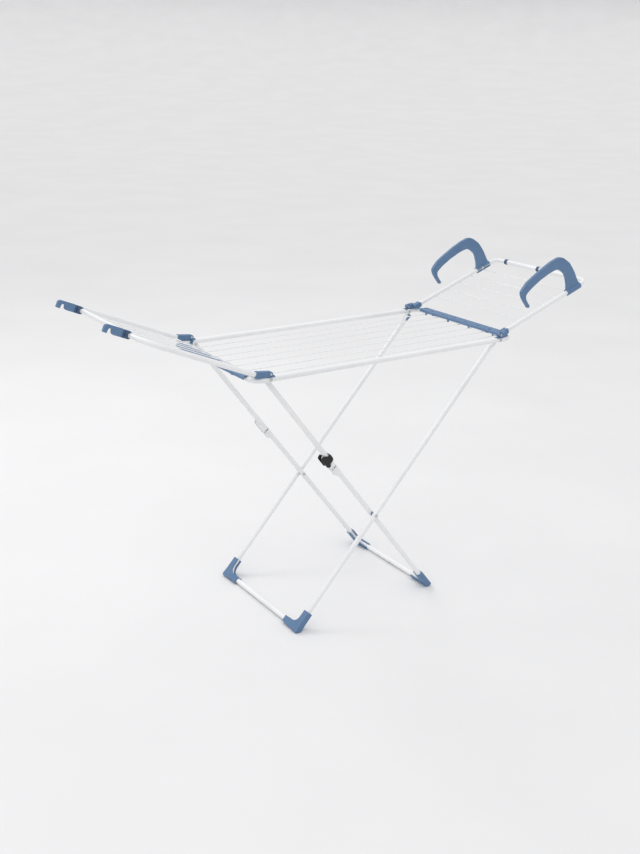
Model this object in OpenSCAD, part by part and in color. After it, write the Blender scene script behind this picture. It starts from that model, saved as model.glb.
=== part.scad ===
// Folding clothes drying rack: a wired main panel on two crossed leg frames, with two
// hinged wings. X runs along the rack, Y across it and Z up. The origin is on the floor,
// at the middle of the whole rack. "Near" parts are at -Y and "far" parts at +Y.

/* [Main panel] */
// Distance between the left and the right pivot line
pivot_span = 950; // [920:1:980]
// Height of the panel tube centres above the floor
panel_height = 922; // [900:1:950]
// Distance between the centres of the two side tubes
panel_width = 517; // [512:1:530]
// How far the end cross tubes lie beyond the pivot lines
end_reach = 55; // [54:1:58]
// Bend radius of the panel corners
corner_bend = 30; // [26:1:32]
// Number of lengthwise wires on the panel
panel_wire_count = 7; // [5:1:7]
// Distance between neighbouring panel wires
panel_wire_pitch = 64.6; // [58:0.1:64.8]

/* [Tubes and wires] */
// Outer radius of the panel and leg tubes
frame_r = 9; // [8.8:0.1:9]
// Outer radius of the wing tubes
wing_r = 8; // [7.8:0.1:8]
// Wall thickness of every tube
wall = 1; // [0.7:0.1:1.5]
// Radius of the drying wires
wire_r = 1.5; // [1.2:0.1:1.6]

/* [Legs] */
// Distance of the outer frame's foot bar from the left pivot line
outer_foot_x = 127; // [110:1:140]
// Distance of the inner frame's foot bar from the left pivot line
inner_foot_x = 712; // [700:1:730]
// Distance from the centre plane to the outer frame's legs
outer_leg_y = 239.5; // [239:0.1:239.5]
// Distance from the centre plane to the inner frame's legs
inner_leg_y = 216; // [214:0.1:216]
// Bend radius at the lower corners of the leg frames
foot_bend = 40; // [34:1:42]
// Plastic under the foot bars
sole = 2.5; // [2:0.1:4]

/* [Left wing] */
// Angle of the left wing above the level
left_tilt = 22.5; // [18:0.5:24]
// Distance from the left pivot line to the wing's end bar
left_reach = 452; // [430:1:460]
// Bend radius of the left wing's corners
left_bend = 73; // [64:1:74]
// Number of lengthwise wires on the left wing
left_wire_count = 6; // [4:2:6]

/* [Right wing] */
// Angle of the right wing above the level
right_tilt = 20; // [16:0.5:22]
// Distance from the right pivot line to the wing's end bar
right_reach = 463; // [455:1:480]
// Distance from the centre plane to the right wing's side tubes
right_wing_y = 243.5; // [243:0.1:243.5]
// Bend radius of the right wing's corners
right_bend = 30; // [26:1:32]
// Number of crosswise wires on the right wing
right_wire_count = 5; // [4:1:5]
// Distance of the first crosswise wire from the right pivot line
right_wire_start = 137; // [130:1:140]
// Distance between neighbouring crosswise wires
right_wire_pitch = 61.8; // [60:0.1:62]

/* [Hooks] */
// Thickness of the two big hooks
big_hook_t = 11; // [8:0.5:11]
// Width of the small hooks on the left wing
tip_hook_w = 12.5; // [10:0.5:14]

/* [Colours] */
// Powder-coated tube and wire
white = "#f3f4f4";
// Blue plastic
blue = "#5b7ba3";
// Dark blue plastic
dark_blue = "#3f5878";
// Black plastic
black = "#1f2023";
// Rivets and pins
steel = "#c3c6c9";

/* [Hidden] */
$fn = 64;
near = -1;
far = 1;
sides = [near, far];
// Extra length of a cut, so that it passes right through
eps = 1;
// Half length of a cut that only has to pass through one small part
cut = 20;
// Radial play of a pin in its hole, and of a clip on its tube
play = 0.05;

panel_y = panel_width / 2;
drop = panel_height - frame_r - sole;
outer_run = pivot_span - outer_foot_x;
outer_angle = atan2(drop, outer_run);
outer_len = norm([drop, outer_run]);
inner_angle = atan2(drop, inner_foot_x);
inner_len = norm([drop, inner_foot_x]);

// Where the two leg frames cross, measured along each leg from its own pivot
cross_drop = pivot_span / (1 / tan(outer_angle) + 1 / tan(inner_angle));
outer_cross = cross_drop / sin(outer_angle);
inner_cross = cross_drop / sin(inner_angle);
// The knee lies where both legs can close up under the panel, the inner frame's shoes
// coming to rest just under the outer frame's
knee_shift = 1.05;
knee_s = (inner_cross + pivot_span - outer_cross) / 2 - knee_shift;
knee_gap = 2;
knee_drop = 12.5;

// Joint between the long and the short side tubes of the panel
seam_x = 830;
splice_half = 30;

// Hinge of a wing
hinge_z = 17.5;
ear_r = 7.6;
ear_in = 4.6;
ear_out = 8.6;
knuckle_r = 7.9;
knuckle_half = 4.25;
pin_r = 2;
saddle_r = 11.6;
saddle_out = 14;
saddle_in = 16;
saddle_low = 7.6;
post_half = 7;
fork_floor = 9.9;
fork_half = 9.4;
fork_slot_r = 12;
left_socket = [33, 57];
left_tube_start = 45;
right_line_z = 8;
right_socket = [20, 52];
right_tube_start = 32;

// Rivets of the four corner pivots
rivet_r = 3;
rivet_head_r = 6;
rivet_head_t = 2.6;
rivet_dome_r = 10;
rivet_tail_t = 1.6;
cross_head_r = 5.5;
cross_head_t = 1.8;
tab_t = 4;
tab_r = 9;
tab_len = 42;
leg_cut = 11;
spacer_r = 7.5;
spacer_gap = 0.3;

// Wires
panel_wire_drop = 5;
left_cross_wire_s = 66;
left_cross_wire_r = 2;
right_wire_drop = 7.7;
right_wire_inset = 5;

// Wire covers over the panel's end tubes
cover_half = 225;
cover_inner = 35;
cover_outer = 73;
cover_top = 11.4;
cover_t = 2;
cover_lip = 1;
cover_skirt = 0;
cover_tab_y = [-187, -58, 58, 187];
cover_tab_half = 4;
cover_tab_low = -7.5;
cover_round = 3;
cover_clip_y = 150;
cover_clip_half = 6;
cover_clip_low = 3;
slot_len = 18;
slot_w = 5;
slot_x = 44;

// Small hooks on the left wing's end bar
tip_y = 177;
tip_end = left_reach + 83;
tip_split = left_reach + 24;
tip_back = left_reach - 2;
tip_top = 13;
tip_bottom = -12;
tip_clamp_w = 15.5;

// Collars on the right wing's end bar
collar_r = 10.5;
collar_w = 14;
collar_y = 176;
sleeve_r = 9.3;

// Big hooks
hook_jaw_r = 12.5;
hook_jaw = [358, 424];
hook_mouth_half = 3.5;
hook_notch_w = 8;

// Knee brackets
pin_knee_r = 2.2;
cheek_t = 1.6;
outer_cheek_y = 7;
inner_cheek_y = 5.1;
outer_cheek_r = 5;
inner_cheek_r = 4.2;
outer_cheek_len = 59;
inner_cheek_len = 38;
outer_cheek_up = 8.4;
inner_cheek_up = 7.9;
knee_head_t = 1.1;

// Clip on the near inner arm
clip_s = [399, 420];
clip_wall = 3.3;
clip_in = 9.3;
clip_top = clip_in + clip_wall;

// Shoes
shoe_half = 11;
shoe_slot_half = 6.5;
shoe_arm = 64;
shoe_reach = 75;
shoe_side = frame_r + sole;
outer_shoe_tip = 14.5;
inner_shoe_tip = 12.5;

// The rack's middle, from its leftmost hook tip and its rightmost collar
x_left = -(tip_end * cos(left_tilt) - tip_bottom * sin(left_tilt));
x_right = pivot_span + right_reach * cos(right_tilt) + collar_r;
x0 = -(x_left + x_right) / 2;

// ---------- placing ----------

module at_left_pivot() {
    translate([x0, 0, panel_height]) children();
}

module at_right_pivot() {
    translate([x0 + pivot_span, 0, panel_height]) children();
}

// Left wing: X runs out along the wing, Z stands up off it, Y runs to the near side
module in_left_wing() {
    at_left_pivot() rotate([0, left_tilt, 0]) rotate([0, 0, 180]) children();
}

// Right wing: X runs out along the wing, Z stands up off it
module in_right_wing() {
    at_right_pivot() translate([0, 0, right_line_z]) rotate([0, -right_tilt, 0]) children();
}

// Outer legs: X runs down the leg from its pivot, Z points out of its underside
module in_outer_leg() {
    at_right_pivot() rotate([0, 180 - outer_angle, 0]) children();
}

// Inner legs: X runs down the leg from its pivot, Z points out of its upper side
module in_inner_leg() {
    at_left_pivot() rotate([0, inner_angle, 0]) children();
}

// ---------- building blocks ----------

module rod_x(r, from, to) {
    translate([from, 0, 0]) rotate([0, 90, 0]) cylinder(h = to - from, r = r);
}

module rod_y(r, from, to) {
    translate([0, from, 0]) rotate([-90, 0, 0]) cylinder(h = to - from, r = r);
}

module tube_x(r, from, to) {
    difference() {
        rod_x(r, from, to);
        rod_x(r - wall, from - eps, to + eps);
    }
}

module tube_y(r, from, to) {
    difference() {
        rod_y(r, from, to);
        rod_y(r - wall, from - eps, to + eps);
    }
}

// Quarter bend that joins a tube along +X to a tube along -Y, corner at the origin
module quarter_bend(bend, r, inner_r) {
    translate([-bend, -bend, 0]) rotate_extrude(angle = 90) translate([bend, 0]) difference() {
        circle(r = r);
        circle(r = inner_r);
    }
}

// A flat piece in the X-Z plane, w thick across Y
module side_plate(w) {
    translate([0, w / 2, 0]) rotate([90, 0, 0]) linear_extrude(height = w) children();
}

module corner_bends(x, y, bend, r) {
    for (side = sides)
        translate([x, side * y, 0]) mirror([0, side < 0 ? 1 : 0, 0]) quarter_bend(bend, r, r - wall);
}

// ---------- main panel ----------

module panel_tube(side) {
    color(white) at_left_pivot() translate([0, side * panel_y, 0]) difference() {
        tube_x(frame_r, corner_bend - end_reach, seam_x);
        rod_y(rivet_r + play, -2 * frame_r, 2 * frame_r);
    }
}

module panel_stubs() {
    color(white) for (side = sides) at_left_pivot() translate([0, side * panel_y, 0]) difference() {
        tube_x(frame_r, seam_x, pivot_span + end_reach - corner_bend);
        translate([pivot_span, 0, 0]) rod_y(rivet_r + play, -2 * frame_r, 2 * frame_r);
    }
}

// Inner sleeves that join the long tubes to the short ones
module panel_splices() {
    color(steel) for (side = sides) at_left_pivot() translate([0, side * panel_y, 0])
        tube_x(frame_r - wall, seam_x - splice_half, seam_x + splice_half);
}

module panel_bar(x) {
    color(white) at_left_pivot() translate([x, 0, 0])
        tube_y(frame_r, corner_bend - panel_y, panel_y - corner_bend);
}

module panel_corners() {
    color(white) {
        at_left_pivot() mirror([1, 0, 0]) corner_bends(end_reach, panel_y, corner_bend, frame_r);
        at_right_pivot() corner_bends(end_reach, panel_y, corner_bend, frame_r);
    }
}

function panel_wire_y(i) = (i - (panel_wire_count - 1) / 2) * panel_wire_pitch;

module panel_wires() {
    color(white) at_left_pivot() difference() {
        for (i = [0 : panel_wire_count - 1])
            translate([0, panel_wire_y(i), -panel_wire_drop])
                rod_x(wire_r, -end_reach, pivot_span + end_reach);
        for (x = [-end_reach, pivot_span + end_reach])
            translate([x, 0, 0]) rod_y(frame_r, -panel_y, panel_y);
    }
}

// Half section of a cover: X is the distance beyond the pivot line
module cover_section() {
    polygon([
        [cover_inner, cover_tab_low], [cover_inner, cover_top - cover_round],
        [cover_inner + cover_round, cover_top], [cover_outer - cover_round, cover_top],
        [cover_outer, cover_top - cover_round], [cover_outer, cover_skirt],
        [cover_outer - cover_t, cover_skirt], [cover_outer - cover_t, cover_top - cover_round - cover_t / 2],
        [cover_outer - cover_round, cover_top - cover_t], [cover_inner + cover_round, cover_top - cover_t],
        [cover_inner + cover_t, cover_top - cover_round - cover_t / 2], [cover_inner + cover_t, cover_tab_low]
    ]);
}

// Windows under the cover's inner lip, which leave short tabs between the wires
module cover_windows() {
    last = len(cover_tab_y) - 1;
    for (i = [0 : last + 1]) {
        from = i == 0 ? -cover_half - eps : cover_tab_y[i - 1] + cover_tab_half;
        to = i > last ? cover_half + eps : cover_tab_y[i] - cover_tab_half;
        translate([cover_inner - eps, from, cover_tab_low - eps])
            cube([cover_t + 2 * eps, to - from, cover_lip - cover_tab_low + eps]);
    }
}

// A row of round-ended slots along the cover's top
module cover_slots(count) {
    straight = slot_len - slot_w;
    for (i = [0 : count - 1])
        translate([slot_x, (i - (count - 1) / 2) * panel_wire_pitch, cover_top - 2 * cover_t]) {
            for (end = sides)
                translate([0, end * straight / 2, 0]) cylinder(h = 3 * cover_t, d = slot_w);
            translate([-slot_w / 2, -straight / 2, 0]) cube([slot_w, straight, 3 * cover_t]);
        }
}

// Two clips inside a cover that hold it on the end tube
module cover_clips() {
    half = cover_clip_half;
    for (y = [-cover_clip_y, cover_clip_y]) translate([end_reach, y, 0]) intersection() {
        difference() {
            rod_y(cover_outer - cover_t / 2 - end_reach, -half, half);
            rod_y(frame_r + play, -half - eps, half + eps);
        }
        translate([-cut, -half, -cover_clip_low])
            cube([2 * cut, 2 * half, cover_top - cover_t + cover_clip_low]);
    }
}

module wire_cover(slots) {
    color(blue) difference() {
        union() {
            translate([0, cover_half, 0]) rotate([90, 0, 0])
                linear_extrude(height = 2 * cover_half) cover_section();
            cover_clips();
        }
        cover_windows();
        cover_slots(slots);
    }
}

// ---------- wing hinges ----------

// Clip on the panel tube with the hinge knuckle; X points out towards the wing
module hinge_clip() {
    color(blue) difference() {
        union() {
            difference() {
                rod_x(saddle_r, -saddle_in, saddle_out);
                for (side = sides) translate([0, 0, hinge_z])
                    rod_y(ear_r + 0.6, side > 0 ? knuckle_half : -cut, side > 0 ? cut : -knuckle_half);
            }
            translate([0, 0, hinge_z]) rod_y(knuckle_r, -knuckle_half, knuckle_half);
            translate([-post_half, -knuckle_half, 0]) cube([2 * post_half, 2 * knuckle_half, hinge_z]);
        }
        rod_x(frame_r + play / 2, -cut, cut);
        translate([-cut, -cut, -cut]) cube([2 * cut, 2 * cut, cut + saddle_low]);
        translate([0, 0, hinge_z]) rod_y(pin_r + play / 2, -cut, cut);
    }
}

module hinge_pins() {
    head_from = ear_out + 0.3;
    head_to = ear_out + 1.5;
    color(steel) for (x = [0, pivot_span], side = sides)
        at_left_pivot() translate([x, side * panel_y, hinge_z]) {
            rod_y(pin_r, -head_to, head_to);
            rod_y(2 * pin_r, head_from, head_to);
            rod_y(2 * pin_r, -head_to, -head_from);
        }
}

// Moving half of a hinge, in its wing's frame. The pivot is at (ps, pn); the wing tube runs
// along X, shifted by tube_y from the hinge's own plane. Turned so that +Y is outwards.
module fork(ps, pn, socket, tube_start, tube_y) {
    fish = 9;
    fish_half = 6;
    body_end = tube_y == 0 ? socket[1] : socket[0] + 12;
    difference() {
        union() {
            translate([ps, 0, pn]) rod_y(ear_r, -ear_out, ear_out);
            side_plate(2 * ear_out) polygon([
                [ps, pn + ear_r - 0.4], [ps + 14, pn + ear_r / 2 + 0.1], [body_end, fork_half],
                [body_end, -fork_half], [socket[0] + 6, -fork_half], [ps, pn - ear_r + 0.4]
            ]);
            translate([0, tube_y, 0]) side_plate(2 * fork_half) polygon([
                [socket[0], fork_half], [socket[1] - 3, fork_half], [socket[1], fork_half - 2],
                [socket[1], 2 - fork_half], [socket[1] - 3, -fork_half], [socket[0], -fork_half]
            ]);
        }
        translate([ps, 0, pn]) rod_y(fork_slot_r, -ear_in, ear_in);
        translate([ps, 0, pn]) rod_y(pin_r + play, -cut, cut);
        translate([0, tube_y, 0]) rod_x(wing_r, tube_start, socket[1] + eps);
        translate([0, tube_y, -cut]) linear_extrude(height = 2 * cut) polygon([
            [socket[1] + eps, -fish_half], [socket[1] + eps, fish_half], [socket[1] - fish, 0]
        ]);
    }
}

// Room that a hinge's moving half leaves over the panel tube and the clip on it
module fork_room() {
    reach = 100;
    translate([-reach, -2 * panel_y, -reach]) cube([2 * reach, 4 * panel_y, reach + fork_floor]);
    for (side = sides) translate([0, side * panel_y, 0])
        rod_x(saddle_r + 0.5, -saddle_in - 1, saddle_in + 1);
}

module left_fork(side) {
    color(blue) difference() {
        in_left_wing() translate([0, -side * panel_y, 0]) mirror([0, side > 0 ? 1 : 0, 0])
            fork(hinge_z * sin(left_tilt), hinge_z * cos(left_tilt), left_socket, left_tube_start, 0);
        at_left_pivot() fork_room();
    }
}

module right_fork(side) {
    rise = hinge_z - right_line_z;
    color(blue) difference() {
        in_right_wing() translate([0, side * panel_y, 0]) mirror([0, side < 0 ? 1 : 0, 0])
            fork(rise * sin(right_tilt), rise * cos(right_tilt), right_socket, right_tube_start,
                right_wing_y - panel_y);
        at_right_pivot() fork_room();
    }
}

// ---------- pivots of the legs ----------

// Rivet from the panel tube's outer face in to inner_y; the heads lie at both ends
module corner_rivet(side, inner_y) {
    mirror([0, side < 0 ? 1 : 0, 0]) {
        rod_y(rivet_r, inner_y, panel_y + frame_r);
        translate([0, panel_y + frame_r, 0]) intersection() {
            rod_y(rivet_head_r, 0, rivet_head_t);
            translate([0, rivet_head_t - rivet_dome_r, 0]) sphere(r = rivet_dome_r);
        }
        rod_y(rivet_head_r - 1, inner_y - rivet_tail_t, inner_y);
    }
}

module corner_rivets() {
    color(steel) for (side = sides) {
        at_right_pivot() corner_rivet(side, outer_leg_y + frame_r - tab_t - 0.4);
        at_left_pivot() corner_rivet(side, inner_leg_y + frame_r - tab_t - 0.4);
    }
}

module inner_leg_spacers() {
    color(blue) for (side = sides) at_left_pivot() mirror([0, side < 0 ? 1 : 0, 0]) difference() {
        rod_y(spacer_r, inner_leg_y + frame_r + spacer_gap, panel_y);
        rod_y(rivet_r + play, 0, 2 * panel_y);
        translate([0, panel_y, 0]) rod_x(frame_r, -cut, cut);
    }
}

// Top of a leg: the tube is cut off level and pressed into a tab that takes the pivot rivet
module leg_top(length, slope) {
    tab_half = tab_r - 1.5;
    above = 100;
    difference() {
        union() {
            difference() {
                rod_x(frame_r, 0, length);
                rod_x(frame_r - wall, tab_len, length + eps);
                rotate([0, -slope, 0]) translate([-above, -cut, -leg_cut]) cube([2 * above, 2 * cut, above]);
            }
            translate([0, frame_r - tab_t, 0]) {
                rod_y(tab_r, 0, tab_t);
                translate([0, 0, -tab_half]) cube([tab_len - 10, tab_t, 2 * tab_half]);
            }
        }
        rod_y(rivet_r + play, -cut, cut);
    }
}

// ---------- outer leg frame ----------

module outer_leg(side) {
    color(white) in_outer_leg() translate([0, side * outer_leg_y, 0]) mirror([0, side < 0 ? 1 : 0, 0])
        difference() {
            rotate([180, 0, 0]) mirror([0, 1, 0]) leg_top(outer_len - foot_bend, outer_angle);
            translate([outer_cross, 0, 0]) rod_y(rivet_r + play, -cut, cut);
        }
}

module outer_foot_bends() {
    color(white) in_outer_leg() corner_bends(outer_len, outer_leg_y, foot_bend, frame_r);
}

module outer_foot_bar() {
    color(white) in_outer_leg() translate([outer_len, 0, 0])
        tube_y(frame_r, foot_bend - outer_leg_y, outer_leg_y - foot_bend);
}

// Blue wedge on the inside of the far outer leg, close to its pivot
module outer_leg_wedge() {
    from = 13;
    to = 40;
    thick_half = 7.5;
    thin_half = 3;
    proud = 2;
    color(blue) in_outer_leg() translate([0, outer_leg_y, 0]) difference() {
        translate([0, -proud, 0]) rotate([90, 0, 0]) linear_extrude(height = frame_r)
            polygon([[from, -thick_half], [to, -thin_half], [to, thin_half], [from, thick_half]]);
        rod_x(frame_r, 0, 2 * to);
    }
}

module cross_rivets() {
    color(steel) for (side = sides)
        in_outer_leg() translate([outer_cross, 0, 0]) mirror([0, side < 0 ? 1 : 0, 0]) {
            rod_y(rivet_r, inner_leg_y + frame_r + 0.4, outer_leg_y + frame_r);
            translate([0, outer_leg_y + frame_r, 0]) rod_y(cross_head_r, 0, cross_head_t);
        }
}

module cross_spacers() {
    color(blue) for (side = sides)
        in_outer_leg() translate([outer_cross, 0, 0]) mirror([0, side < 0 ? 1 : 0, 0]) difference() {
            rod_y(spacer_r, inner_leg_y + frame_r + spacer_gap, outer_leg_y);
            rod_y(rivet_r, 0, 2 * panel_y);
            translate([0, outer_leg_y, 0]) rod_x(frame_r, -cut, cut);
        }
}

// ---------- inner leg frame ----------

module inner_arm(side) {
    color(white) in_inner_leg() translate([0, side * inner_leg_y, 0]) mirror([0, side < 0 ? 1 : 0, 0])
        leg_top(knee_s - knee_gap, inner_angle);
}

// A cheek of a knee bracket, from the pin along X. It stands up to the given height at the
// tube, and the pin runs in its hole with the given play.
module cheek(r, len, up, pin_play) {
    slant = 8;
    side_plate(cheek_t) difference() {
        union() {
            circle(r = r);
            translate([0, -r]) square([len - slant, 2 * r]);
            polygon([
                [knee_gap + 1, 0], [knee_gap + 1, up], [len, up], [len, 1],
                [len - slant, -r], [knee_gap + 1, -r]
            ]);
        }
        circle(r = pin_knee_r + pin_play);
    }
}

// Cheeks on the inner arms, outside those of the lower legs
module knee_channels() {
    color(white) for (side = sides, cheek_side = sides)
        in_inner_leg() translate([0, side * inner_leg_y, 0]) difference() {
            translate([knee_s, cheek_side * outer_cheek_y, -knee_drop]) mirror([1, 0, 0])
                cheek(outer_cheek_r, outer_cheek_len, outer_cheek_up, play / 2);
            rod_x(frame_r, 0, knee_s + cut);
        }
}

// Cheeks on the lower legs, inside those of the arms
module knee_tongues() {
    color(white) for (side = sides, cheek_side = sides)
        in_inner_leg() translate([0, side * inner_leg_y, 0]) difference() {
            translate([knee_s, cheek_side * inner_cheek_y, -knee_drop])
                cheek(inner_cheek_r, inner_cheek_len, inner_cheek_up, play);
            rod_x(frame_r, knee_s - cut, inner_len);
        }
}

module knee_pins() {
    reach = outer_cheek_y + cheek_t / 2;
    color(steel) for (side = sides)
        in_inner_leg() translate([knee_s, side * inner_leg_y, -knee_drop]) {
            rod_y(pin_knee_r, -reach, reach);
            rod_y(pin_knee_r + 1.4, reach, reach + knee_head_t);
            rod_y(pin_knee_r + 1.4, -reach - knee_head_t, -reach);
        }
}

module inner_leg(side) {
    color(white) in_inner_leg() translate([0, side * inner_leg_y, 0]) difference() {
        tube_x(frame_r, knee_s + knee_gap, inner_len - foot_bend);
        translate([inner_cross, 0, 0]) rod_y(rivet_r + play, -cut, cut);
    }
}

module inner_foot_bends() {
    color(white) in_inner_leg() corner_bends(inner_len, inner_leg_y, foot_bend, frame_r);
}

module inner_foot_bar() {
    color(white) in_inner_leg() translate([inner_len, 0, 0])
        tube_y(frame_r, foot_bend - inner_leg_y, inner_leg_y - foot_bend);
}

// Tails of the crossing rivets and a small rivet on the foot bar
module inner_rivets() {
    foot_rivet_y = -7;
    foot_rivet_r = 3.2;
    foot_rivet_turn = 200;
    color(steel) {
        for (side = sides) in_inner_leg() translate([inner_cross, 0, 0]) mirror([0, side < 0 ? 1 : 0, 0]) {
            rod_y(rivet_r, inner_leg_y - frame_r, inner_leg_y + frame_r - 0.1);
            rod_y(cross_head_r, inner_leg_y - frame_r - cross_head_t, inner_leg_y - frame_r);
        }
        in_inner_leg() translate([inner_len, foot_rivet_y, 0]) difference() {
            rotate([0, foot_rivet_turn, 0]) cylinder(h = frame_r + 1.2, r = foot_rivet_r);
            rod_y(frame_r, -cut, cut);
        }
    }
}

// Black clip over the near inner arm; its jaw takes the lower leg when the frame is folded.
// The outline's points give the distance down the leg and the height off its centre line.
module leg_clip() {
    color(black) in_inner_leg() translate([0, near * inner_leg_y, 0]) difference() {
        union() {
            for (side = sides) translate([0, side * (clip_in + clip_wall / 2), 0]) side_plate(clip_wall)
                polygon([
                    [383, -10], [386, -21], [391, -24], [427, -24], [434, -17], [433, -10], [426, -7],
                    [423, 8], [419, 11], [410, clip_top], [399, clip_top], [396, 10], [398, 3], [389, -7]
                ]);
            side_plate(2 * clip_in + 2)
                polygon([
                    [clip_s[0], clip_in - 1], [clip_s[0], clip_top], [clip_s[1] - 6, clip_top],
                    [clip_s[1], clip_in + 1.5], [clip_s[1], clip_in - 1]
                ]);
        }
        rod_x(frame_r + play / 2, 0, inner_len);
    }
}

// ---------- shoes ----------

// Outline of a shoe in its leg frame: X down the leg, Y inwards, the bar's corner at the origin
module shoe_outline(tip) {
    steps = 8;
    // How square the hollow between the two arms is
    squareness = 0.42;
    hollow = [for (i = [0 : steps]) let (a = 90 * i / steps) [
        -shoe_arm + (shoe_arm - shoe_side) * pow(cos(a), squareness),
        shoe_reach - (shoe_reach - shoe_side) * pow(sin(a), squareness)
    ]];
    polygon(concat(
        [
            [-shoe_arm, -shoe_side], [-10, -shoe_side - 1], [10, -tip], [16, -tip + 4], [14, 8],
            [shoe_side + 1, 40], [shoe_side, shoe_reach]
        ],
        hollow
    ));
}

// A shoe, with a hollow for the bent tube and a slot between its arms
module shoe_solid(tip) {
    slot_from = 16;
    difference() {
        translate([0, 0, -shoe_half]) linear_extrude(height = 2 * shoe_half) shoe_outline(tip);
        rod_x(frame_r + play / 2, -shoe_arm - cut, -foot_bend);
        rod_y(frame_r + play / 2, foot_bend, shoe_reach + cut);
        mirror([0, 1, 0]) quarter_bend(foot_bend, frame_r + play / 2, 0);
        translate([-shoe_arm - cut, 0, -shoe_slot_half])
            cube([shoe_arm + cut - slot_from, shoe_arm, 2 * shoe_slot_half]);
        translate([-shoe_arm, slot_from, -shoe_slot_half])
            cube([shoe_arm, shoe_reach + cut, 2 * shoe_slot_half]);
    }
}

// Everything below the floor, which trims the soles flat
module under_floor() {
    depth = 100;
    translate([-2 * pivot_span, -panel_width, -depth])
        cube([4 * pivot_span, 2 * panel_width, depth]);
}

module outer_shoe(side) {
    color(blue) difference() {
        in_outer_leg() translate([outer_len, side * outer_leg_y, 0]) mirror([0, side > 0 ? 1 : 0, 0])
            shoe_solid(outer_shoe_tip);
        under_floor();
    }
}

module inner_shoe(side) {
    color(blue) difference() {
        in_inner_leg() translate([inner_len, side * inner_leg_y, 0]) mirror([0, side > 0 ? 1 : 0, 0])
            shoe_solid(inner_shoe_tip);
        under_floor();
    }
}

// ---------- left wing ----------

module left_wing_tube(side) {
    color(white) in_left_wing() translate([0, -side * panel_y, 0])
        tube_x(wing_r, left_tube_start, left_reach - left_bend);
}

module left_wing_bends() {
    color(white) in_left_wing() corner_bends(left_reach, panel_y, left_bend, wing_r);
}

module left_wing_bar() {
    color(white) in_left_wing() translate([left_reach, 0, 0])
        tube_y(wing_r, left_bend - panel_y, panel_y - left_bend);
}

module left_wing_wires() {
    color(white) in_left_wing() difference() {
        for (i = [0 : left_wire_count - 1])
            translate([0, (i - (left_wire_count - 1) / 2) * panel_wire_pitch, 0])
                rod_x(wire_r, left_cross_wire_s - 4, left_reach);
        translate([left_reach, 0, 0]) rod_y(wing_r, -panel_y, panel_y);
    }
}

module left_wing_cross_wire() {
    color(white) in_left_wing() difference() {
        translate([left_cross_wire_s, 0, -wire_r - left_cross_wire_r])
            rod_y(left_cross_wire_r, -panel_y, panel_y);
        for (side = sides) translate([0, side * panel_y, 0]) rod_x(wing_r, 0, left_reach);
    }
}

// Rear block of a small hook, open at the back so that it snaps over the end bar
module tip_clamp(side) {
    mouth_half = 5;
    color(dark_blue) in_left_wing() translate([0, -side * tip_y, 0]) difference() {
        side_plate(tip_clamp_w) polygon([
            [tip_back, 9], [tip_back + 5, tip_top - 1], [tip_split, tip_top - 1],
            [tip_split, tip_bottom], [left_reach + 4, tip_bottom], [tip_back, -9],
            [tip_back, -mouth_half], [left_reach, -mouth_half],
            [left_reach, mouth_half - 1], [tip_back, mouth_half - 1]
        ]);
        translate([left_reach, 0, 0]) rod_y(wing_r, -cut, cut);
        translate([tip_split - 7, -cut, -7]) cube([2.5, 2 * cut, 13]);
    }
}

// Front block of a small hook: a level arm that drops into a hooked end
module tip_hook(side) {
    color(blue) in_left_wing() translate([0, -side * tip_y, 0]) side_plate(tip_hook_w) polygon([
        [tip_split, tip_top], [tip_end - 8, tip_top], [tip_end - 2, tip_top - 3], [tip_end, tip_top - 8],
        [tip_end, tip_bottom], [tip_end - 12, tip_bottom], [tip_end - 12.5, -2], [tip_end - 15, 3],
        [tip_end - 20, 4], [tip_end - 24, 2], [tip_end - 26, -4], [tip_end - 27, -9],
        [tip_end - 32, tip_bottom], [tip_split, tip_bottom]
    ]);
}

// ---------- right wing ----------

module right_wing_tube(side) {
    color(white) in_right_wing() translate([0, side * right_wing_y, 0])
        tube_x(wing_r, right_tube_start, right_reach - right_bend);
}

module right_wing_bends() {
    color(white) in_right_wing() corner_bends(right_reach, right_wing_y, right_bend, wing_r);
}

module right_wing_bar() {
    color(white) in_right_wing() translate([right_reach, 0, 0])
        tube_y(wing_r, right_bend - right_wing_y, right_wing_y - right_bend);
}

module right_wing_wires() {
    half = right_wing_y - right_wire_inset;
    color(white) in_right_wing() difference() {
        for (i = [0 : right_wire_count - 1])
            translate([right_wire_start + i * right_wire_pitch, 0, -right_wire_drop])
                rod_y(wire_r, -half, half);
        for (side = sides) translate([0, side * right_wing_y, 0]) rod_x(wing_r, 0, right_reach);
    }
}

module end_bar_collars() {
    color(dark_blue) in_right_wing() translate([right_reach, 0, 0]) for (y = [-collar_y, 0, collar_y])
        difference() {
            rod_y(collar_r, y - collar_w / 2, y + collar_w / 2);
            rod_y(wing_r, y - collar_w, y + collar_w);
        }
}

module end_bar_sleeves() {
    gap = collar_w / 2 + 1;
    color(white) in_right_wing() translate([right_reach, 0, 0]) for (side = sides)
        mirror([0, side < 0 ? 1 : 0, 0]) difference() {
            rod_y(sleeve_r, gap, collar_y - gap);
            rod_y(wing_r, 0, collar_y);
        }
}

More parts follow.
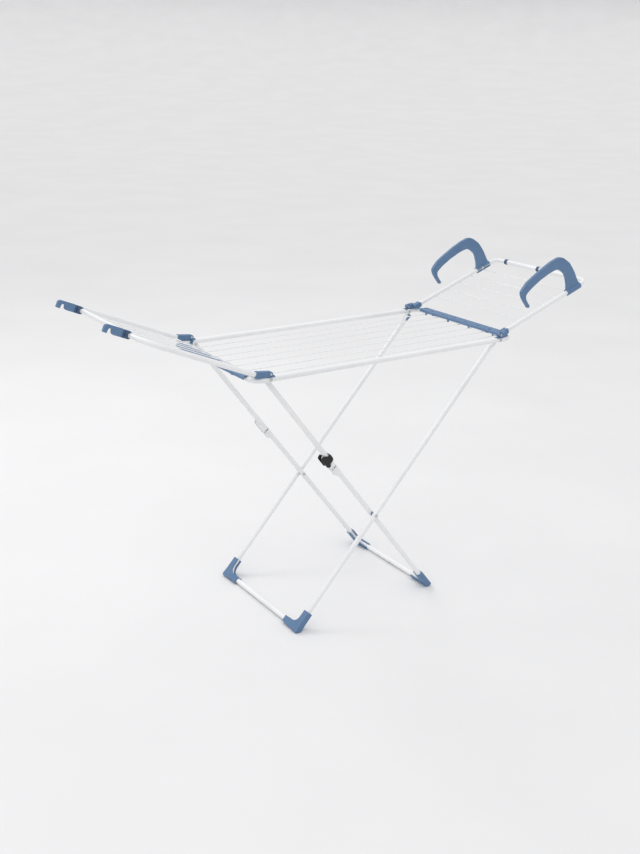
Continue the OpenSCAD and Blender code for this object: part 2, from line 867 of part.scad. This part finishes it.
// Big hook: a bent arm over a jaw that turns on the wing tube and is open on its inner side.
// The outline's points give the distance along the wing and the height off its side tube.
module big_hook(side) {
    color(blue) in_right_wing() translate([0, side * right_wing_y, 0]) difference() {
        union() {
            side_plate(big_hook_t) polygon([
                [358, 5], [364, 31], [364, 60], [361, 74], [352, 88], [341, 101],
                [324, 110], [293, 112], [240, 107], [195, 97], [170, 88], [163, 82], [161, 70],
                [166, 51], [171, 39], [167, 34], [161, 35], [151, 62], [145, 82], [144, 96],
                [147, 106], [158, 114], [180, 125], [205, 131], [260, 142], [310, 148], [343, 148],
                [358, 143], [370, 134], [383, 118], [393, 104], [402, 82], [409, 60], [415, 30], [422, 5]
            ]);
            rod_x(hook_jaw_r, hook_jaw[0], hook_jaw[1]);
        }
        rod_x(wing_r + play, 0, right_reach);
        translate([hook_jaw[0] - eps, side > 0 ? -cut : 0, -hook_mouth_half])
            cube([hook_jaw[1] - hook_jaw[0] + 2 * eps, cut, 2 * hook_mouth_half]);
        mirror([0, side > 0 ? 1 : 0, 0]) hook_notch();
    }
}

// Room in a hook's jaw for the last crosswise wire, on the inner side, at every turn of the hook
module hook_notch() {
    last_wire = right_wire_start + (right_wire_count - 1) * right_wire_pitch;
    translate([last_wire - hook_notch_w / 2, 0, -cut]) {
        translate([0, big_hook_t / 2 + 0.1, 0]) cube([hook_notch_w, cut, 2 * cut]);
        translate([0, 3, 0]) cube([hook_notch_w, cut, cut]);
    }
}

// ---------- drawing ----------

panel_tube(near);  // panel_tube_near
panel_tube(far);  // panel_tube_far
panel_stubs();
panel_bar(-end_reach);  // panel_bar_left
panel_bar(pivot_span + end_reach);  // panel_bar_right
panel_corners();
panel_splices();
panel_wires();
at_left_pivot() mirror([1, 0, 0]) wire_cover(7);  // wire_cover_left
at_right_pivot() wire_cover(6);  // wire_cover_right
at_left_pivot() translate([0, -panel_y, 0]) mirror([1, 0, 0]) hinge_clip();  // hinge_clip_left_near
at_left_pivot() translate([0, panel_y, 0]) mirror([1, 0, 0]) hinge_clip();  // hinge_clip_left_far
at_right_pivot() translate([0, -panel_y, 0]) hinge_clip();  // hinge_clip_right_near
at_right_pivot() translate([0, panel_y, 0]) hinge_clip();  // hinge_clip_right_far
hinge_pins();
corner_rivets();
inner_leg_spacers();
left_wing_tube(near);  // left_wing_tube_near
left_wing_tube(far);  // left_wing_tube_far
left_wing_bends();
left_wing_bar();
left_wing_wires();
left_wing_cross_wire();
left_fork(near);  // left_fork_near
left_fork(far);  // left_fork_far
for (side = sides) tip_clamp(side);  // tip_clamps
for (side = sides) tip_hook(side);  // tip_hooks
right_wing_tube(near);  // right_wing_tube_near
right_wing_tube(far);  // right_wing_tube_far
right_wing_bends();
right_wing_bar();
right_wing_wires();
right_fork(near);  // right_fork_near
right_fork(far);  // right_fork_far
end_bar_collars();
end_bar_sleeves();
big_hook(near);  // big_hook_near
big_hook(far);  // big_hook_far
outer_leg(near);  // outer_leg_near
outer_leg(far);  // outer_leg_far
outer_foot_bar();
outer_foot_bends();
outer_shoe(near);  // outer_shoe_near
outer_shoe(far);  // outer_shoe_far
outer_leg_wedge();
cross_rivets();
cross_spacers();
inner_arm(near);  // inner_arm_near
inner_arm(far);  // inner_arm_far
knee_channels();
knee_pins();
leg_clip();
inner_leg(near);  // inner_leg_near
inner_leg(far);  // inner_leg_far
inner_foot_bar();
inner_foot_bends();
inner_shoe(near);  // inner_shoe_near
inner_shoe(far);  // inner_shoe_far
knee_tongues();
inner_rivets();
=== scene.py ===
"""Looks of the folding clothes drying rack: finishes, moulded edges, small details, studio."""

import math

import bmesh
import bpy
from mathutils import Euler, Matrix, Vector


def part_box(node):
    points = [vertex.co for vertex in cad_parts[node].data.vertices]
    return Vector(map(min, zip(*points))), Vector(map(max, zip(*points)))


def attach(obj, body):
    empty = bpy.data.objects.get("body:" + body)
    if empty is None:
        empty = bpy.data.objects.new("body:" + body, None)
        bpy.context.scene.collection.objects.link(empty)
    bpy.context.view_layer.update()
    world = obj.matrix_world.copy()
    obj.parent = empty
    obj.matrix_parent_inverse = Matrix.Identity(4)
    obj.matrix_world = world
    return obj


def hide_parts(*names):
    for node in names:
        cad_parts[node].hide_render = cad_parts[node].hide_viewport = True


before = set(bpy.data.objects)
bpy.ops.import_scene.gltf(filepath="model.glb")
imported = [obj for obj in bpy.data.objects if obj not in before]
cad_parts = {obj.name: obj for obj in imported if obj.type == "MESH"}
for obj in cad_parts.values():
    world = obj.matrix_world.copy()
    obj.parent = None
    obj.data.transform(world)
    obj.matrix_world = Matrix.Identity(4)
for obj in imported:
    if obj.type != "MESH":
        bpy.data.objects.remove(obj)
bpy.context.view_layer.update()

MM = 0.001

# The camera: where it stands in metres, the way it looks and leans in degrees, its lens in mm
CAMERA_AT = (-2.0635, -2.8821, 1.8488)
CAMERA_AZIMUTH = -34.531
CAMERA_ELEVATION = 19.31
CAMERA_LEAN = 1.134
CAMERA_LENS = 59.253
CAMERA_SENSOR = 36.0

# The floor: its radius and rim height in metres, the share that is level, and its facets
FLOOR_RADIUS = 40.0
FLOOR_RIM = 4.6
FLOOR_LEVEL_SHARE = 0.4
FLOOR_CURVE_STEPS = 16
FLOOR_SIDES = 96

# Light of the studio: the soft sky, the power of two softboxes in watts, and where they aim
SKY_STRENGTH = 1.24
KEY_POWER = 42.0
FILL_POWER = 16.0
LIGHT_AIM = (0.0, 0.0, 0.8)

# How a CAD mesh is cleaned, and the turns above which an edge is rounded or shaded sharp
MERGE_DISTANCE = 0.004 * MM
FLAT_ANGLE = math.radians(0.8)
EDGE_ANGLE = math.radians(32)
CREASE_ANGLE = math.radians(52)
EDGE_SEGMENTS = 3

# Beads of weld at the wires' ends, and the coat's ridge at a tube joint
# (the ridge is RING_RISE high, and RING_WIDTH to either side of its middle)
WELD_RADII = (2.1 * MM, 2.1 * MM, 1.9 * MM)
WELD_INSET = 0.6 * MM
RING_RISE = 0.25 * MM
RING_WIDTH = 0.5 * MM

# The plastic pieces whose moulded edges are rounded: body, material slot, edge radius in mm
MOULDED = {
    "wire_cover_left": ("panel", "blue_plastic", 0.6),
    "wire_cover_right": ("panel", "blue_plastic", 0.6),
    "hinge_clip_left_near": ("panel", "blue_plastic", 0.7),
    "hinge_clip_left_far": ("panel", "blue_plastic", 0.7),
    "hinge_clip_right_near": ("panel", "blue_plastic", 0.7),
    "hinge_clip_right_far": ("panel", "blue_plastic", 0.7),
    "left_fork_near": ("left_wing", "blue_plastic", 0.9),
    "left_fork_far": ("left_wing", "blue_plastic", 0.9),
    "tip_clamps": ("left_wing", "dark_blue_plastic", 0.9),
    "tip_hooks": ("left_wing", "blue_plastic", 1.2),
    "right_fork_near": ("right_wing", "blue_plastic", 0.9),
    "right_fork_far": ("right_wing", "blue_plastic", 0.9),
    "end_bar_collars": ("right_wing", "dark_blue_plastic", 0.6),
    "big_hook_near": ("hook_near", "blue_plastic", 2.2),
    "big_hook_far": ("hook_far", "blue_plastic", 2.2),
    "outer_shoe_near": ("outer_legs", "blue_plastic", 1.4),
    "outer_shoe_far": ("outer_legs", "blue_plastic", 1.4),
    "outer_leg_wedge": ("outer_legs", "blue_plastic", 0.8),
    "cross_spacers": ("outer_legs", "blue_plastic", 0.3),
    "inner_leg_spacers": ("panel", "blue_plastic", 0.3),
    "leg_clip": ("inner_arms", "black_plastic", 0.8),
    "inner_shoe_near": ("inner_legs", "blue_plastic", 1.4),
    "inner_shoe_far": ("inner_legs", "blue_plastic", 1.4),
}


# ---------- shader building blocks ----------


def start_material(name):
    """A new material with its node tree, its shader and its object coordinates."""
    material = bpy.data.materials.new(name)
    material.use_nodes = True
    tree = material.node_tree
    tree.nodes.clear()
    output = tree.nodes.new("ShaderNodeOutputMaterial")
    shader = tree.nodes.new("ShaderNodeBsdfPrincipled")
    coords = tree.nodes.new("ShaderNodeTexCoord")
    tree.links.new(shader.outputs["BSDF"], output.inputs["Surface"])
    return material, tree, shader, coords.outputs["Object"]


def stretched(tree, coords, scale):
    """The coordinates scaled differently along each axis."""
    mapping = tree.nodes.new("ShaderNodeMapping")
    mapping.inputs["Scale"].default_value = scale
    tree.links.new(coords, mapping.inputs["Vector"])
    return mapping.outputs["Vector"]


def noise(tree, coords, scale, detail=3.0, roughness=0.5):
    """A cloudy noise value between 0 and 1."""
    texture = tree.nodes.new("ShaderNodeTexNoise")
    texture.inputs["Scale"].default_value = scale
    texture.inputs["Detail"].default_value = detail
    texture.inputs["Roughness"].default_value = roughness
    tree.links.new(coords, texture.inputs["Vector"])
    return texture.outputs["Fac"]


def ramp(tree, value, stops):
    """Maps a value to colours; stops are pairs of a position and a colour."""
    node = tree.nodes.new("ShaderNodeValToRGB")
    elements = node.color_ramp.elements
    while len(elements) < len(stops):
        elements.new(0.5)
    for element, (position, colour) in zip(elements, stops):
        element.position = position
        element.color = (*colour, 1.0)
    tree.links.new(value, node.inputs["Fac"])
    return node.outputs["Color"]


def remap(tree, value, source, target):
    """Maps the source range of a value onto the target range."""
    node = tree.nodes.new("ShaderNodeMapRange")
    node.inputs["From Min"].default_value = source[0]
    node.inputs["From Max"].default_value = source[1]
    node.inputs["To Min"].default_value = target[0]
    node.inputs["To Max"].default_value = target[1]
    tree.links.new(value, node.inputs["Value"])
    return node.outputs["Result"]


def mixed(tree, factor, base, over):
    """The base colour output with a colour laid over it where factor is high."""
    node = tree.nodes.new("ShaderNodeMix")
    node.data_type = "RGBA"
    tree.links.new(factor, node.inputs["Factor"])
    tree.links.new(base, node.inputs["A"])
    node.inputs["B"].default_value = (*over, 1.0)
    return node.outputs["Result"]


def bumped(tree, height, strength, distance, normal=None):
    """A normal raised by the height value, on top of another normal if one is given."""
    node = tree.nodes.new("ShaderNodeBump")
    node.inputs["Strength"].default_value = strength
    node.inputs["Distance"].default_value = distance
    tree.links.new(height, node.inputs["Height"])
    if normal is not None:
        tree.links.new(normal, node.inputs["Normal"])
    return node.outputs["Normal"]


def rounded_normal(tree, radius):
    """A normal that looks rounded where faces meet."""
    node = tree.nodes.new("ShaderNodeBevel")
    node.samples = 4
    node.inputs["Radius"].default_value = radius
    return node.outputs["Normal"]


def edge_mask(tree, radius, softness):
    """High where the surface turns a corner, from the rounded and the true normal."""
    geometry = tree.nodes.new("ShaderNodeNewGeometry")
    dot = tree.nodes.new("ShaderNodeVectorMath")
    dot.operation = "DOT_PRODUCT"
    tree.links.new(rounded_normal(tree, radius), dot.inputs[0])
    tree.links.new(geometry.outputs["Normal"], dot.inputs[1])
    return remap(tree, dot.outputs["Value"], source=(1.0, 1.0 - softness), target=(0.0, 1.0))


def times(tree, a, b):
    """The product of two varying values."""
    node = tree.nodes.new("ShaderNodeMath")
    node.operation = "MULTIPLY"
    tree.links.new(a, node.inputs[0])
    tree.links.new(b, node.inputs[1])
    return node.outputs["Value"]


# ---------- finishes ----------


def powder_coat():
    """White powder coat on tube and wire: faint orange peel, dust and handling marks."""
    material, tree, shader, coords = start_material("white_powder_coat")
    clouds = noise(tree, coords, scale=5.0, detail=4.0)
    tone = ramp(tree, clouds, stops=[
        (0.30, (0.78, 0.79, 0.80)), (0.55, (0.84, 0.845, 0.85)), (0.80, (0.86, 0.86, 0.855)),
    ])
    dust = noise(tree, coords, scale=900.0, detail=1.0)
    specks = remap(tree, dust, source=(0.70, 0.76), target=(0.0, 0.35))
    tone = mixed(tree, specks, tone, over=(0.55, 0.56, 0.57))
    rubbing = stretched(tree, coords, scale=(14.0, 60.0, 14.0))
    marks = noise(tree, rubbing, scale=3.0, detail=8.0, roughness=0.7)
    marks = remap(tree, marks, source=(0.64, 0.76), target=(0.0, 0.4))
    tone = mixed(tree, marks, tone, over=(0.66, 0.66, 0.65))
    tree.links.new(tone, shader.inputs["Base Color"])
    sheen = noise(tree, coords, scale=45.0, detail=4.0)
    sheen = remap(tree, sheen, source=(0.3, 0.7), target=(0.26, 0.40))
    tree.links.new(sheen, shader.inputs["Roughness"])
    peel = noise(tree, coords, scale=650.0, detail=2.0)
    peel = bumped(tree, peel, strength=0.10, distance=0.3 * MM)
    waves = noise(tree, coords, scale=90.0, detail=2.0)
    waves = bumped(tree, waves, strength=0.05, distance=0.5 * MM, normal=peel)
    tree.links.new(waves, shader.inputs["Normal"])
    shader.inputs["Coat Weight"].default_value = 0.15
    shader.inputs["Coat Roughness"].default_value = 0.2
    return material


def moulded_plastic(name, deep, light, worn, grain, roughness):
    """Moulded plastic: clouded tone, fine grain, worn edges and a few rub marks."""
    material, tree, shader, coords = start_material(name)
    clouds = noise(tree, coords, scale=22.0, detail=5.0, roughness=0.6)
    tone = ramp(tree, clouds, stops=[(0.25, deep), (0.75, light)])
    specks = noise(tree, coords, scale=1500.0, detail=1.0)
    specks = remap(tree, specks, source=(0.62, 0.75), target=(0.0, 0.25))
    tone = mixed(tree, specks, tone, over=worn)
    patches = noise(tree, coords, scale=130.0, detail=4.0, roughness=0.65)
    patches = remap(tree, patches, source=(0.42, 0.62), target=(0.0, 0.6))
    edges = edge_mask(tree, radius=0.9 * MM, softness=0.25)
    tone = mixed(tree, times(tree, edges, patches), tone, over=worn)
    tree.links.new(tone, shader.inputs["Base Color"])
    rubbing = stretched(tree, coords, scale=(8.0, 40.0, 24.0))
    rubs = noise(tree, rubbing, scale=5.0, detail=6.0, roughness=0.6)
    tree.links.new(remap(tree, rubs, source=(0.3, 0.7), target=roughness), shader.inputs["Roughness"])
    pores = noise(tree, coords, scale=1100.0, detail=2.0)
    rounded = rounded_normal(tree, radius=0.7 * MM)
    pores = bumped(tree, pores, strength=grain, distance=0.25 * MM, normal=rounded)
    tree.links.new(pores, shader.inputs["Normal"])
    shader.inputs["Specular IOR Level"].default_value = 0.45
    return material


def zinc_steel():
    """Zinc-plated rivets and pins: dull, with turned lines and small darker spots."""
    material, tree, shader, coords = start_material("zinc_plated_steel")
    clouds = noise(tree, coords, scale=160.0, detail=5.0, roughness=0.6)
    tone = ramp(tree, clouds, stops=[
        (0.30, (0.46, 0.47, 0.48)), (0.60, (0.60, 0.61, 0.62)), (0.85, (0.68, 0.68, 0.67)),
    ])
    spots = noise(tree, coords, scale=420.0, detail=2.0)
    spots = remap(tree, spots, source=(0.66, 0.74), target=(0.0, 0.5))
    tree.links.new(mixed(tree, spots, tone, over=(0.28, 0.27, 0.26)), shader.inputs["Base Color"])
    turning = stretched(tree, coords, scale=(1.0, 30.0, 1.0))
    lines = noise(tree, turning, scale=120.0, detail=3.0)
    tree.links.new(remap(tree, lines, source=(0.3, 0.7), target=(0.24, 0.45)), shader.inputs["Roughness"])
    rounded = rounded_normal(tree, radius=0.3 * MM)
    grooves = bumped(tree, lines, strength=0.2, distance=0.1 * MM, normal=rounded)
    tree.links.new(grooves, shader.inputs["Normal"])
    shader.inputs["Metallic"].default_value = 1.0
    return material


def studio_floor():
    """Pale matt floor with a very faint mottling."""
    material, tree, shader, coords = start_material("pale_floor")
    clouds = noise(tree, coords, scale=1.2, detail=4.0)
    tone = ramp(tree, clouds, stops=[(0.3, (0.755, 0.755, 0.76)), (0.7, (0.785, 0.785, 0.79))])
    tree.links.new(tone, shader.inputs["Base Color"])
    sheen = remap(tree, noise(tree, coords, scale=30.0), source=(0.3, 0.7), target=(0.75, 0.9))
    tree.links.new(sheen, shader.inputs["Roughness"])
    grain = noise(tree, coords, scale=200.0, detail=2.0)
    tree.links.new(bumped(tree, grain, strength=0.05, distance=0.3 * MM), shader.inputs["Normal"])
    return material


FINISHES = {
    "white_paint": powder_coat(),
    "blue_plastic": moulded_plastic(
        "blue_plastic_grain", deep=(0.092, 0.178, 0.318), light=(0.118, 0.212, 0.366),
        worn=(0.21, 0.32, 0.48), grain=0.22, roughness=(0.40, 0.56)),
    "dark_blue_plastic": moulded_plastic(
        "dark_blue_plastic_grain", deep=(0.040, 0.080, 0.155), light=(0.056, 0.108, 0.200),
        worn=(0.11, 0.18, 0.29), grain=0.22, roughness=(0.42, 0.60)),
    "black_plastic": moulded_plastic(
        "black_plastic_grain", deep=(0.004, 0.004, 0.005), light=(0.008, 0.008, 0.009),
        worn=(0.035, 0.035, 0.038), grain=0.18, roughness=(0.34, 0.50)),
    "rivet_steel": zinc_steel(),
}
STEEL_NODES = {"panel_splices", "hinge_pins", "corner_rivets", "cross_rivets", "knee_pins", "inner_rivets"}


# ---------- carried-over pieces ----------


def slot_of(name):
    """The material slot of a CAD node."""
    if name in MOULDED:
        return MOULDED[name][1]
    return "rivet_steel" if name in STEEL_NODES else "white_paint"


def paint_frame():
    """Every CAD node takes the finish of its slot."""
    for name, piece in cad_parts.items():
        for material_slot in piece.material_slots:
            material_slot.material = FINISHES[slot_of(name)]


def add_piece(name, mesh_source, body, slot):
    """Links a new mesh piece, smooths it and lets it ride on its body."""
    mesh = bpy.data.meshes.new(name)
    mesh_source.to_mesh(mesh)
    mesh_source.free()
    for stale in [a for a in mesh.attributes if a.name == "custom_normal"]:
        mesh.attributes.remove(stale)
    for polygon in mesh.polygons:
        polygon.use_smooth = True
        polygon.material_index = 0
    mesh.set_sharp_from_angle(angle=CREASE_ANGLE)
    mesh.materials.clear()
    mesh.materials.append(FINISHES[slot])
    piece = bpy.data.objects.new(name, mesh)
    bpy.context.scene.collection.objects.link(piece)
    weighted = piece.modifiers.new("weighted", "WEIGHTED_NORMAL")
    weighted.keep_sharp = True
    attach(piece, body)
    return piece


def softened(name, body, slot, radius):
    """A copy of a CAD node with its sharp moulded edges rounded, shown in its place."""
    source = bmesh.new()
    source.from_mesh(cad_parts[name].data)
    bmesh.ops.remove_doubles(source, verts=source.verts, dist=MERGE_DISTANCE)
    bmesh.ops.dissolve_limit(
        source, angle_limit=FLAT_ANGLE, use_dissolve_boundaries=False,
        verts=source.verts, edges=source.edges)
    sharp = [e for e in source.edges if len(e.link_faces) == 2 and e.calc_face_angle(0.0) > EDGE_ANGLE]
    bmesh.ops.bevel(
        source, geom=sharp, offset=radius * MM, offset_type="OFFSET", segments=EDGE_SEGMENTS,
        profile=0.5, affect="EDGES", clamp_overlap=True)
    piece = add_piece("moulded_" + name, source, body, slot)
    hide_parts(name)
    return piece


# ---------- small details ----------


def add_blob(mesh, centre, radii, rings=6, around=10):
    """An ellipsoid bead, as left by a spot weld or a drop of coat."""
    rows = []
    for i in range(1, rings):
        tilt = math.pi * i / rings
        rows.append([
            mesh.verts.new((
                centre[0] + radii[0] * math.sin(tilt) * math.cos(2.0 * math.pi * k / around),
                centre[1] + radii[1] * math.sin(tilt) * math.sin(2.0 * math.pi * k / around),
                centre[2] + radii[2] * math.cos(tilt)))
            for k in range(around)
        ])
    top = mesh.verts.new((centre[0], centre[1], centre[2] + radii[2]))
    bottom = mesh.verts.new((centre[0], centre[1], centre[2] - radii[2]))
    for k in range(around):
        after = (k + 1) % around
        mesh.faces.new((top, rows[0][k], rows[0][after]))
        mesh.faces.new((bottom, rows[-1][after], rows[-1][k]))
        for upper, lower in zip(rows, rows[1:]):
            mesh.faces.new((upper[k], lower[k], lower[after], upper[after]))


def loose_parts(name):
    """The lowest and highest corner of every separate part of a CAD node."""
    mesh = bmesh.new()
    mesh.from_mesh(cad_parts[name].data)
    bmesh.ops.remove_doubles(mesh, verts=mesh.verts, dist=MERGE_DISTANCE)
    seen, boxes = set(), []
    for start in mesh.verts:
        if start in seen:
            continue
        group, queue = [], [start]
        seen.add(start)
        while queue:
            vertex = queue.pop()
            group.append(vertex.co.copy())
            for edge in vertex.link_edges:
                other = edge.other_vert(vertex)
                if other not in seen:
                    seen.add(other)
                    queue.append(other)
        low = Vector([min(v[axis] for v in group) for axis in range(3)])
        high = Vector([max(v[axis] for v in group) for axis in range(3)])
        boxes.append((low, high))
    mesh.free()
    return boxes


def wire_welds(name, wires, body, ends):
    """Weld beads at both ends of every wire; ends gives the two end points of a wire's box."""
    mesh = bmesh.new()
    for low, high in loose_parts(wires):
        for point in ends(low, high):
            add_blob(mesh, point, WELD_RADII)
    return add_piece(name, mesh, body, "white_paint")


def level_ends(low, high):
    """Ends of a level wire along X."""
    y, z = (low.y + high.y) / 2, (low.z + high.z) / 2
    return [Vector((low.x + WELD_INSET, y, z)), Vector((high.x - WELD_INSET, y, z))]


def crosswise_ends(low, high):
    """Ends of a wire along Y."""
    x, z = (low.x + high.x) / 2, (low.z + high.z) / 2
    return [Vector((x, low.y + WELD_INSET, z)), Vector((x, high.y - WELD_INSET, z))]


def left_wing_ends(low, high):
    """Ends of a wire that rises towards -X."""
    y = (low.y + high.y) / 2
    outer = Vector((low.x + WELD_INSET, y, high.z - WELD_INSET))
    inner = Vector((high.x - WELD_INSET, y, low.z + WELD_INSET))
    return [outer, inner]


def add_ring(mesh, centre, axis, radius, width, around=40):
    """A thin rounded band around a tube; axis is the tube's direction."""
    turn = axis.to_track_quat("Z", "Y")
    crown = radius + RING_RISE
    section = [(radius, -width), (crown, -0.5 * width), (crown, 0.5 * width), (radius, width)]
    rows = []
    for distance, along in section:
        rows.append([
            mesh.verts.new(centre + turn @ Vector((
                distance * math.cos(2.0 * math.pi * k / around),
                distance * math.sin(2.0 * math.pi * k / around), along)))
            for k in range(around)
        ])
    for first, second in zip(rows, rows[1:] + rows[:1]):
        for k in range(around):
            after = (k + 1) % around
            mesh.faces.new((first[k], first[after], second[after], second[k]))


def panel_seams():
    """Coat built up where the short panel tubes are pushed onto the long ones."""
    mesh = bmesh.new()
    for name in ("panel_tube_near", "panel_tube_far"):
        low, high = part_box(name)
        centre = Vector((high.x, (low.y + high.y) / 2, (low.z + high.z) / 2))
        add_ring(mesh, centre, Vector((1.0, 0.0, 0.0)), radius=(high.z - low.z) / 2, width=RING_WIDTH)
    return add_piece("panel_seams", mesh, "panel", "white_paint")


def add_details():
    """Weld beads on the wires and the coat's ridge at the panel's tube joints."""
    wire_welds("panel_wire_welds", "panel_wires", "panel", level_ends)
    wire_welds("left_wing_wire_welds", "left_wing_wires", "left_wing", left_wing_ends)
    wire_welds("right_wing_wire_welds", "right_wing_wires", "right_wing", crosswise_ends)
    panel_seams()


# ---------- studio ----------


def bowl_profile(radius, rim):
    """Distance and height along a floor that curves up into a low wall all round."""
    level = FLOOR_LEVEL_SHARE * radius
    points = [(level * i / 3, 0.0) for i in range(1, 4)]
    for i in range(1, FLOOR_CURVE_STEPS + 1):
        turn = math.radians(90.0 * i / FLOOR_CURVE_STEPS)
        points.append((level + (radius - level) * math.sin(turn), rim * (1.0 - math.cos(turn))))
    return points


def add_floor():
    """The studio's floor, far wider than the view, with its own soft horizon."""
    around = FLOOR_SIDES
    mesh = bmesh.new()
    centre = mesh.verts.new((0.0, 0.0, 0.0))
    rings = []
    for distance, height in bowl_profile(FLOOR_RADIUS, FLOOR_RIM):
        rings.append([
            mesh.verts.new((distance * math.cos(t), distance * math.sin(t), height))
            for t in (2.0 * math.pi * k / around for k in range(around))
        ])
    for k in range(around):
        after = (k + 1) % around
        mesh.faces.new((centre, rings[0][k], rings[0][after]))
        for inner, outer in zip(rings, rings[1:]):
            mesh.faces.new((inner[k], outer[k], outer[after], inner[after]))
    data = bpy.data.meshes.new("studio_floor")
    mesh.to_mesh(data)
    mesh.free()
    for polygon in data.polygons:
        polygon.use_smooth = True
    data.materials.append(studio_floor())
    floor = bpy.data.objects.new("studio_floor", data)
    bpy.context.scene.collection.objects.link(floor)


def add_softbox(name, place, size, power):
    """A square softbox in metres and watts, aimed at the rack's middle."""
    light = bpy.data.lights.new(name, "AREA")
    light.shape = "SQUARE"
    light.size = size
    light.energy = power
    lamp = bpy.data.objects.new(name, light)
    lamp.location = place
    lamp.rotation_euler = (Vector(LIGHT_AIM) - Vector(place)).to_track_quat("-Z", "Y").to_euler()
    bpy.context.scene.collection.objects.link(lamp)


def light_studio():
    """A soft sky that is brighter overhead, and two softboxes."""
    world = bpy.data.worlds.new("studio")
    world.use_nodes = True
    tree = world.node_tree
    background = tree.nodes["Background"]
    up = tree.nodes.new("ShaderNodeSeparateXYZ")
    tree.links.new(tree.nodes.new("ShaderNodeTexCoord").outputs["Generated"], up.inputs["Vector"])
    sky = ramp(tree, up.outputs["Z"], stops=[
        (0.0, (0.42, 0.42, 0.43)), (0.3, (0.58, 0.58, 0.59)), (1.0, (1.0, 1.0, 1.0)),
    ])
    tree.links.new(sky, background.inputs["Color"])
    background.inputs["Strength"].default_value = SKY_STRENGTH
    bpy.context.scene.world = world
    add_softbox("key", place=(-1.4, 2.6, 4.0), size=1.6, power=KEY_POWER)
    add_softbox("fill", place=(-3.4, -3.6, 3.0), size=3.0, power=FILL_POWER)


def add_camera():
    """The camera, at the photograph's viewing angle."""
    data = bpy.data.cameras.new("camera")
    data.sensor_fit = "HORIZONTAL"
    data.sensor_width = CAMERA_SENSOR
    data.lens = CAMERA_LENS
    camera = bpy.data.objects.new("camera", data)
    turn = Euler((math.radians(90.0 - CAMERA_ELEVATION), 0.0, math.radians(CAMERA_AZIMUTH)))
    lean = Matrix.Rotation(math.radians(CAMERA_LEAN), 4, "Z")
    camera.matrix_world = Matrix.Translation(CAMERA_AT) @ turn.to_matrix().to_4x4() @ lean
    bpy.context.scene.collection.objects.link(camera)
    bpy.context.scene.camera = camera
    bpy.context.scene.view_settings.view_transform = "Standard"


paint_frame()
for moulded_name, (moulded_body, moulded_slot, edge_radius) in MOULDED.items():
    softened(moulded_name, moulded_body, moulded_slot, edge_radius)
add_details()
add_floor()
light_studio()
add_camera()
